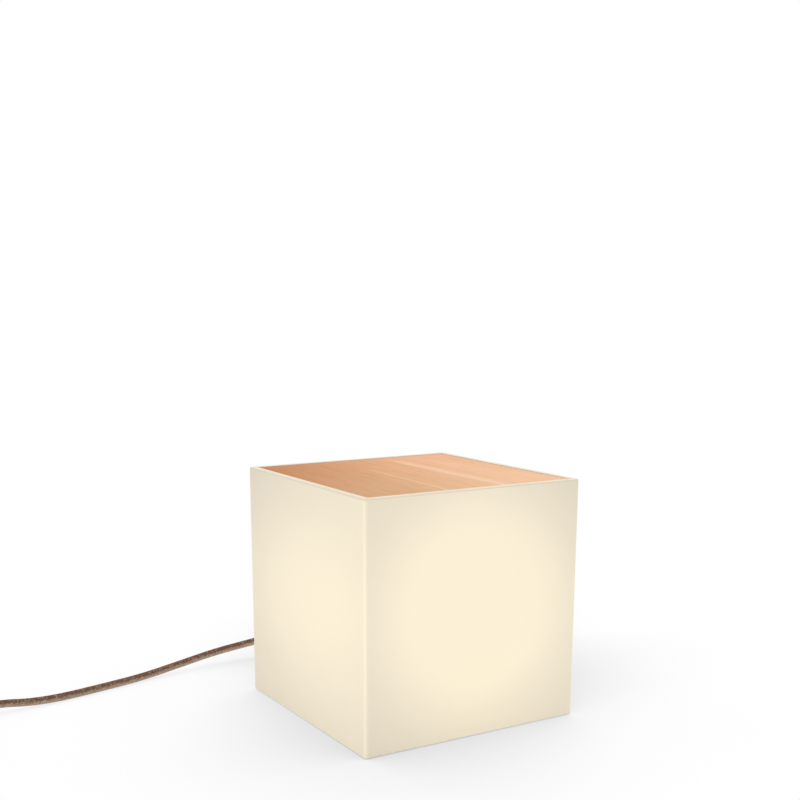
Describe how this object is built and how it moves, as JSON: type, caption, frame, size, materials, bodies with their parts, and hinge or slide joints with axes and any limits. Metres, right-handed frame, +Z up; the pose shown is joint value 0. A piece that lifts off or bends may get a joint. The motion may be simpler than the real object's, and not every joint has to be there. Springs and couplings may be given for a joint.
{
  "type": "cube table lamp",
  "caption": "Cube table lamp with glowing opal acrylic walls, an inset wooden lid, a screw-in bulb on a base plate and a cloth cord with in-line switch and plug.",
  "frame": {"origin": "on the table, under the middle of the cube, in the plane of the feet's soles", "axes": "+Z up; the front wall faces -Y and the cord leaves through the rear wall at +Y"},
  "size_m": [0.5627, 0.2874, 0.2],
  "materials": {
    "opal_acrylic": "satin opal acrylic, lit from inside",
    "white_acrylic": "matt opal acrylic",
    "clear_pad": "clear soft bumper",
    "foot_rubber": "grey silicone",
    "oiled_wood": "fine straight grain, oiled",
    "steel": "zinc-plated steel",
    "brass": "plain brass",
    "nickel": "nickel-plated sheet",
    "holder_plastic": "white thermoplastic",
    "bulb_plastic": "white matt plastic",
    "bulb_opal": "frosted opal dome, lit",
    "glass_black": "black insulating glass",
    "board_aluminium": "white-coated aluminium board",
    "led_chip": "phosphor over white chip",
    "board_green": "glass-fibre circuit board",
    "component_dark": "moulded electronic parts",
    "black_rubber": "matt black rubber",
    "black_plastic": "fine-textured black plastic",
    "rocker_plastic": "polished black plastic",
    "cord_cloth": "braided brown cloth with beige flecks",
    "core_pvc": "insulated core",
    "tie_cloth": "hook-and-loop tape"
  },
  "bodies": {
    "lamp": {"wall_front": "opal_acrylic", "wall_right": "opal_acrylic", "wall_rear": "opal_acrylic", "wall_left": "opal_acrylic", "base_plate": "white_acrylic", "feet": "foot_rubber", "base_blocks": "white_acrylic", "base_screws": "steel", "lid_ledges": "white_acrylic", "lid_pads": "clear_pad", "holder_base": "holder_plastic", "holder_insert": "holder_plastic", "holder_skirt": "holder_plastic", "screw_shell": "nickel", "centre_contact": "brass", "side_contact": "brass", "holder_terminals": "brass", "holder_screws": "steel", "holder_nuts": "steel", "cord_bush": "black_rubber", "bush_nut": "black_plastic", "inner_cord": "cord_cloth", "core_wires": "core_pvc", "lamp_lead": "cord_cloth", "plug_lead": "cord_cloth", "cord_coil": "cord_cloth", "plug_tail": "cord_cloth", "coil_tie": "tie_cloth", "switch_base": "black_plastic", "switch_cover": "black_plastic", "rocker_pin": "steel", "switch_terminals": "brass", "switch_contact": "brass", "switch_tails": "cord_cloth", "switch_cores": "core_pvc", "switch_screws": "steel", "plug_body": "black_plastic", "plug_pins": "nickel"},
    "lid": {"wood_lid": "oiled_wood"},
    "bulb": {"bulb_contact": "nickel", "bulb_insulator": "glass_black", "bulb_cap": "nickel", "bulb_housing": "bulb_plastic", "bulb_globe": "bulb_opal", "led_board": "board_aluminium", "led_chips": "led_chip", "driver_board": "board_green", "driver_parts": "component_dark"},
    "rocker": {"switch_rocker": "rocker_plastic"}
  },
  "joints": [
    {"name": "lid_lift", "type": "slide", "parent": "lamp", "child": "lid", "axis": [0, 0, 1], "range_m": [0, 0.08]},
    {"name": "bulb_lift", "type": "slide", "parent": "lamp", "child": "bulb", "axis": [0, 0, 1], "range_m": [0, 0.03]},
    {"name": "rocker_tilt", "type": "hinge", "parent": "lamp", "child": "rocker", "pos_m": [-0.362, 0.15, 0.0144], "axis": [0, -1, 0], "range_deg": [0, 22]}
  ]
}
